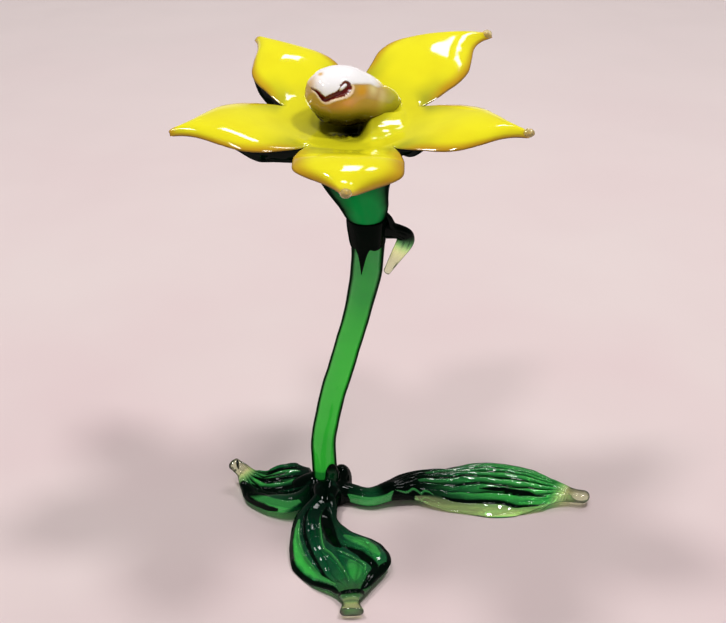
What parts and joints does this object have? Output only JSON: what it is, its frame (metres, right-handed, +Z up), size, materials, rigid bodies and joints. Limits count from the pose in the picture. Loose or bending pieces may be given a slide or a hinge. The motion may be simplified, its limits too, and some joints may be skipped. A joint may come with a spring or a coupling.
{
  "type": "glass orchid figurine",
  "caption": "Free-standing figurine of an orchid in coloured hot-worked glass: cupped bloom with a beak-like lip on a bowed stem, standing on its own spread leaves.",
  "frame": {"origin": "centre of the small flat ground under the foot knot, on the table", "axes": "+Z up; the viewer's side of the bloom and the front leaf are towards -Y; the long leaf lies along +X"},
  "size_m": [0.1787, 0.1414, 0.2091],
  "materials": {
    "green_glass": "fire-polished",
    "dark_green_glass": "fire-polished",
    "clear_glass": "fire-polished",
    "yellow_glass": "opaque, fire-polished",
    "lip_glass": "opaque, fire-polished",
    "red_glass": "opaque, fire-polished",
    "cream_glass": "opaque, fire-polished"
  },
  "bodies": {
    "root": {"leaf_right": "green_glass", "leaf_front": "green_glass", "leaf_left": "green_glass", "leaf_tip_right": "clear_glass", "leaf_tip_front": "clear_glass", "leaf_tip_left": "clear_glass", "side_leaf": "green_glass", "side_leaf_tip": "clear_glass", "foot_knot": "dark_green_glass", "stem": "green_glass", "collar": "dark_green_glass", "calyx": "dark_green_glass", "petal_bead_right": "clear_glass", "petal_bead_back_right": "clear_glass", "petal_bead_front": "clear_glass", "corolla": "yellow_glass", "lip": "lip_glass", "lip_slit": "red_glass", "lip_roll": "cream_glass"}
  },
  "joints": []
}
